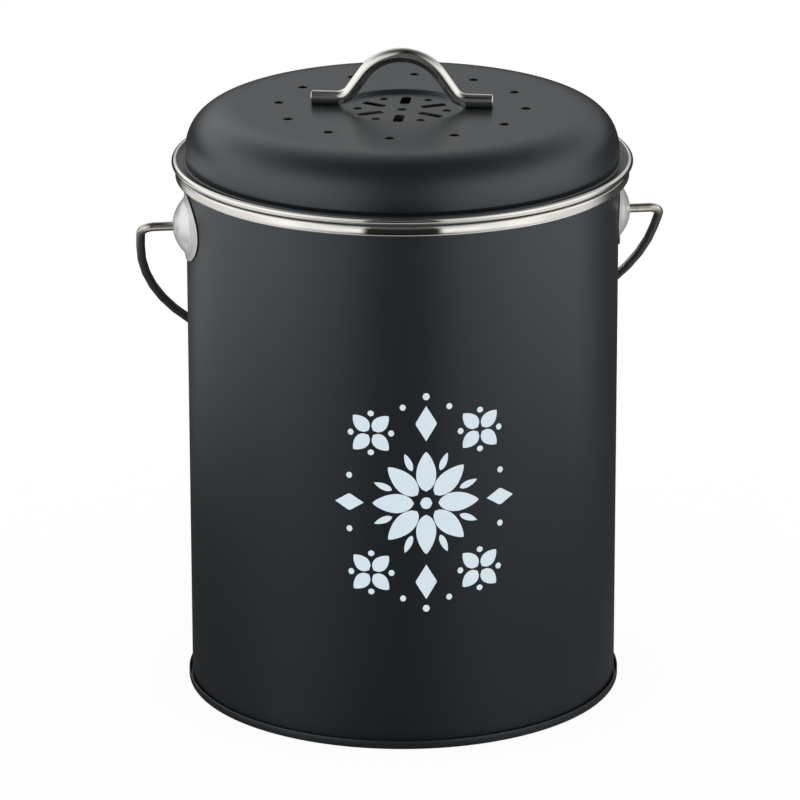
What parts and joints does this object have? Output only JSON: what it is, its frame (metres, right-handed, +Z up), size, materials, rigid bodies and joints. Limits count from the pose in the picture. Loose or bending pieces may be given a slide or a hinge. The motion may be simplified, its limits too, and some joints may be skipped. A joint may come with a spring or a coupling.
{
  "type": "compost caddy",
  "caption": "Round steel kitchen compost caddy with wire bail, lift-out liner and domed vented lid over a charcoal filter.",
  "frame": {"origin": "centre of the foot bead, on the surface that the caddy stands on", "axes": "+Z up; the two bail ears lie on the X axis; -Y is the front, away from the body's lap seam"},
  "size_m": [0.2218, 0.1916, 0.2746],
  "materials": {
    "powder_black": "matt powder coat",
    "polished_steel": "polished",
    "wire_steel": "satin",
    "liner_plastic": "moulded, fine grain",
    "silicone": "matt",
    "black_plastic": "moulded, fine grain",
    "charcoal_felt": "non-woven felt"
  },
  "bodies": {
    "body": {"body_shell": "powder_black", "base_pan": "powder_black", "rim_band": "polished_steel", "ear_left": "polished_steel", "ear_right": "polished_steel"},
    "bail": {"bail": "wire_steel"},
    "liner": {"liner_bucket": "liner_plastic"},
    "lid": {"lid_shell": "powder_black", "lid_trim_ring": "polished_steel", "lid_collar": "polished_steel", "lid_seal": "silicone", "lid_handle": "polished_steel", "handle_screws": "wire_steel", "handle_washers": "wire_steel", "filter_holder": "black_plastic", "charcoal_filter": "charcoal_felt"},
    "filter_cover": {"filter_cover": "black_plastic"}
  },
  "joints": [
    {"name": "bail_swing", "type": "hinge", "parent": "body", "child": "bail", "pos_m": [0, 0, 0.2021], "axis": [1, 0, 0], "range_deg": [0, 270]},
    {"name": "liner_lift", "type": "slide", "parent": "body", "child": "liner", "axis": [0, 0, 1], "range_m": [0, 0.24]},
    {"name": "lid_lift", "type": "slide", "parent": "liner", "child": "lid", "axis": [0, 0, 1], "range_m": [0, 0.08]},
    {"name": "filter_cover_turn", "type": "hinge", "parent": "lid", "child": "filter_cover", "pos_m": [0, 0, 0.2345], "axis": [0, 0, 1], "range_deg": [0, 60]}
  ]
}
